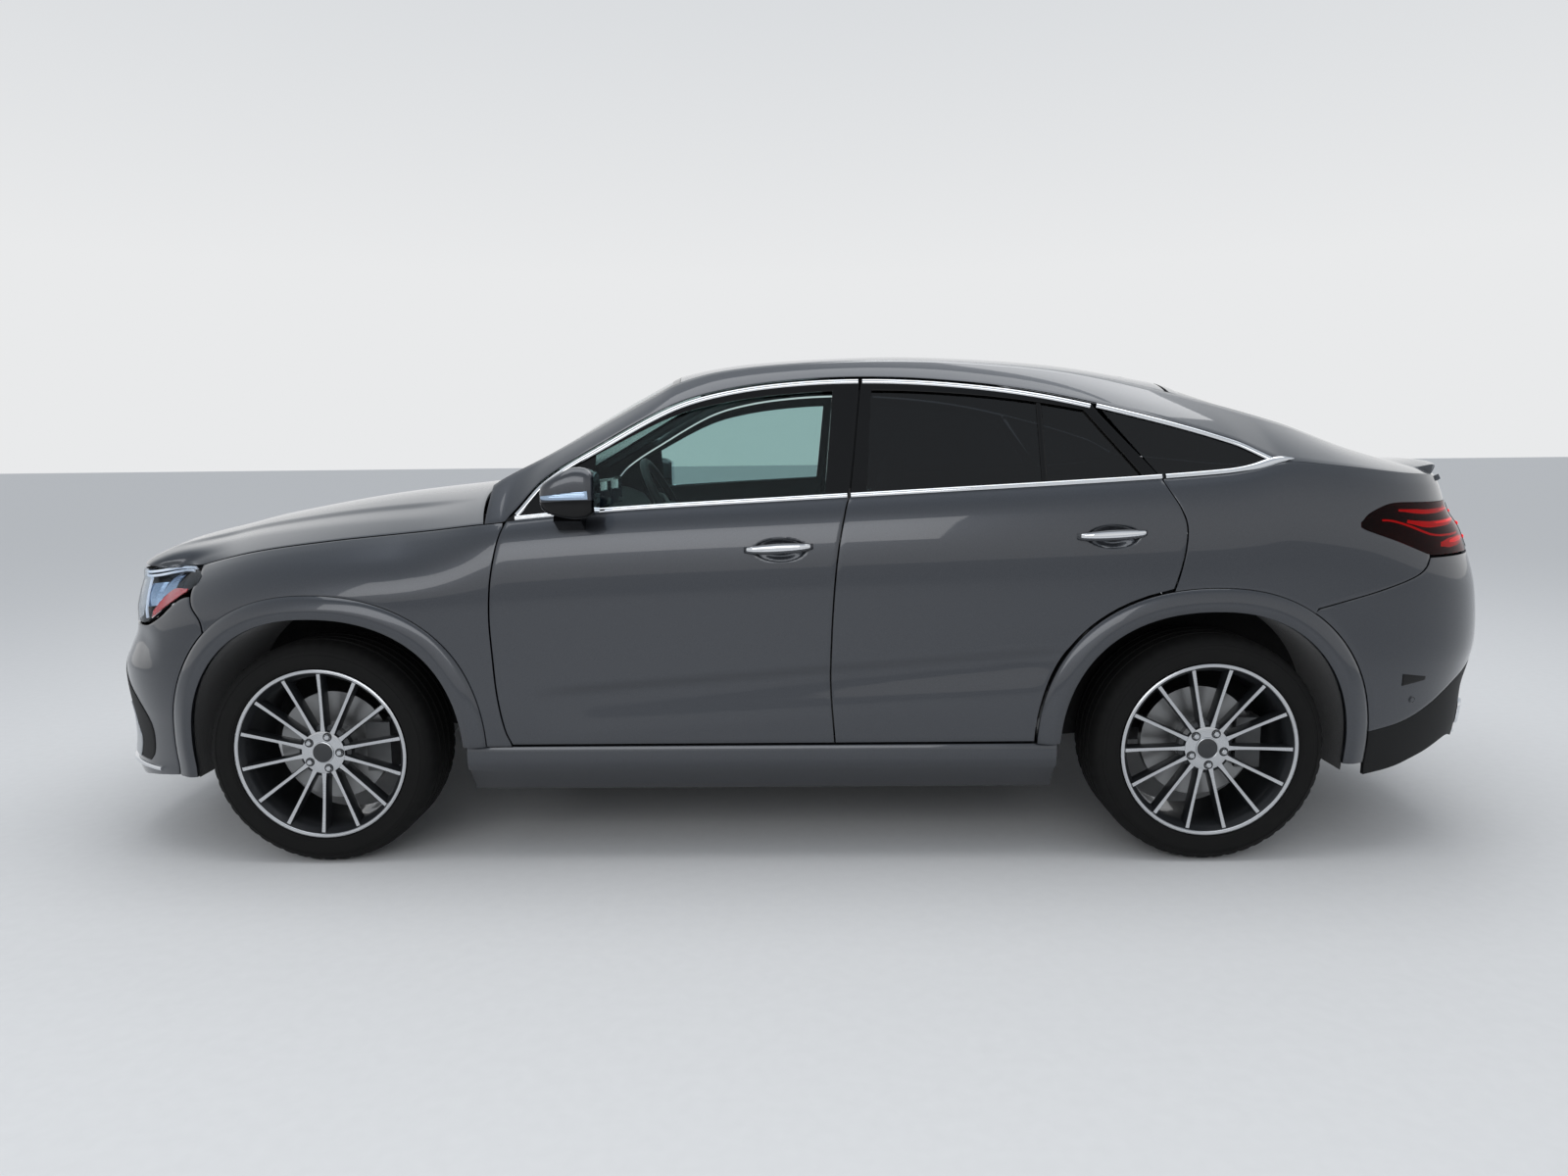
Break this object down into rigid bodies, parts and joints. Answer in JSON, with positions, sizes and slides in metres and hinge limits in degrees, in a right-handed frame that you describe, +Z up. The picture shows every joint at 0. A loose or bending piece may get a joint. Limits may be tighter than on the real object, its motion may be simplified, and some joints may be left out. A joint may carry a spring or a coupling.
{
  "type": "coupe sport utility vehicle",
  "caption": "Five-seat coupe sport utility vehicle with sloping roof, opening doors, hood and tailgate, steered front wheels and multi-spoke rims",
  "frame": {"origin": "on the ground under the middle of the length and width", "axes": "+X to the rear, -Y to the left side, +Z up"},
  "size_m": [4.9488, 2.1496, 1.7202],
  "materials": {
    "body_paint": "metallic grey paint under clear coat",
    "black_plastic": "grained black plastic",
    "tinted_glass": "privacy glass",
    "clear_glass": "clear glass with a green tint",
    "red_lens": "red lens",
    "cast_metal": "dark cast metal",
    "steel": "turned steel",
    "soft_trim": "black leather",
    "machined_alloy": "machined face, dark pockets",
    "tyre_rubber": "tyre rubber"
  },
  "bodies": {
    "body": {"floor": "black_plastic", "sills": "body_paint", "roof_frame": "body_paint", "b_pillars": "black_plastic", "quarter_panels": "body_paint", "roof": "body_paint", "roof_glass": "tinted_glass", "windshield": "clear_glass", "firewall": "black_plastic", "front_frame": "cast_metal", "fenders": "body_paint", "front_bumper": "body_paint", "grille": "black_plastic", "headlamps": "clear_glass", "rear_bumper": "body_paint", "rear_valance": "black_plastic", "tail_lamps": "red_lens", "arch_flares": "body_paint", "quarter_glass": "tinted_glass", "wheel_liners": "black_plastic", "engine": "cast_metal", "front_subframe": "cast_metal", "rear_subframe": "cast_metal", "exhaust": "steel", "dashboard": "soft_trim", "front_seats": "soft_trim", "rear_seat": "soft_trim"},
    "hood_body": {"hood": "body_paint"},
    "tailgate_body": {"tailgate": "body_paint", "rear_window": "tinted_glass"},
    "steering_body": {"steering_wheel": "soft_trim"},
    "knuckle_left": {"left_knuckle": "cast_metal"},
    "knuckle_right": {"right_knuckle": "cast_metal"},
    "front_left_door_body": {"front_left_door": "body_paint", "front_left_glass": "clear_glass", "left_mirror": "body_paint"},
    "rear_left_door_body": {"rear_left_door": "body_paint", "rear_left_glass": "tinted_glass"},
    "front_left_wheel_body": {"front_left_wheel": "machined_alloy", "front_left_tyre": "tyre_rubber", "front_left_disc": "steel"},
    "rear_left_wheel_body": {"rear_left_wheel": "machined_alloy", "rear_left_tyre": "tyre_rubber", "rear_left_disc": "steel"},
    "front_right_door_body": {"front_right_door": "body_paint", "front_right_glass": "clear_glass", "right_mirror": "body_paint"},
    "rear_right_door_body": {"rear_right_door": "body_paint", "rear_right_glass": "tinted_glass"},
    "front_right_wheel_body": {"front_right_wheel": "machined_alloy", "front_right_tyre": "tyre_rubber", "front_right_disc": "steel"},
    "rear_right_wheel_body": {"rear_right_wheel": "machined_alloy", "rear_right_tyre": "tyre_rubber", "rear_right_disc": "steel"}
  },
  "joints": [
    {"name": "front_left_door_hinge", "type": "hinge", "parent": "body", "child": "front_left_door_body", "pos_m": [-0.928, -0.975, 0.8], "axis": [0, 0, -1], "range_deg": [0, 68]},
    {"name": "rear_left_door_hinge", "type": "hinge", "parent": "body", "child": "rear_left_door_body", "pos_m": [0.172, -0.975, 0.8], "axis": [0, 0, -1], "range_deg": [0, 68]},
    {"name": "front_right_door_hinge", "type": "hinge", "parent": "body", "child": "front_right_door_body", "pos_m": [-0.928, 0.975, 0.8], "axis": [0, 0, 1], "range_deg": [0, 68]},
    {"name": "rear_right_door_hinge", "type": "hinge", "parent": "body", "child": "rear_right_door_body", "pos_m": [0.172, 0.975, 0.8], "axis": [0, 0, 1], "range_deg": [0, 68]},
    {"name": "hood_hinge", "type": "hinge", "parent": "body", "child": "hood_body", "pos_m": [-1.015, 0, 1.235], "axis": [0, 1, 0], "range_deg": [0, 50]},
    {"name": "tailgate_hinge", "type": "hinge", "parent": "body", "child": "tailgate_body", "pos_m": [1.292, 0, 1.6], "axis": [0, -1, 0], "range_deg": [0, 72]},
    {"name": "steer_left", "type": "hinge", "parent": "body", "child": "knuckle_left", "pos_m": [-1.569, -0.762, 0.38], "axis": [0, 0, 1], "range_deg": [-33, 33]},
    {"name": "steer_right", "type": "hinge", "parent": "body", "child": "knuckle_right", "pos_m": [-1.569, 0.762, 0.38], "axis": [0, 0, 1], "range_deg": [-33, 33]},
    {"name": "steering_wheel_turn", "type": "hinge", "parent": "body", "child": "steering_body", "pos_m": [-0.455, -0.38, 1.16], "axis": [0.8829, 0, 0.4695], "range_deg": [-462, 462]},
    {"name": "front_left_wheel_spin", "type": "hinge", "parent": "knuckle_left", "child": "front_left_wheel_body", "pos_m": [-1.569, -0.822, 0.38], "axis": [0, 1, 0], "continuous": true},
    {"name": "rear_left_wheel_spin", "type": "hinge", "parent": "body", "child": "rear_left_wheel_body", "pos_m": [1.366, -0.83, 0.38], "axis": [0, 1, 0], "continuous": true},
    {"name": "front_right_wheel_spin", "type": "hinge", "parent": "knuckle_right", "child": "front_right_wheel_body", "pos_m": [-1.569, 0.822, 0.38], "axis": [0, 1, 0], "continuous": true},
    {"name": "rear_right_wheel_spin", "type": "hinge", "parent": "body", "child": "rear_right_wheel_body", "pos_m": [1.366, 0.83, 0.38], "axis": [0, 1, 0], "continuous": true}
  ],
  "couplings": [
    {"joint": "steer_right", "follows": "steer_left", "ratio": 1},
    {"joint": "steering_wheel_turn", "follows": "steer_left", "ratio": 14}
  ]
}
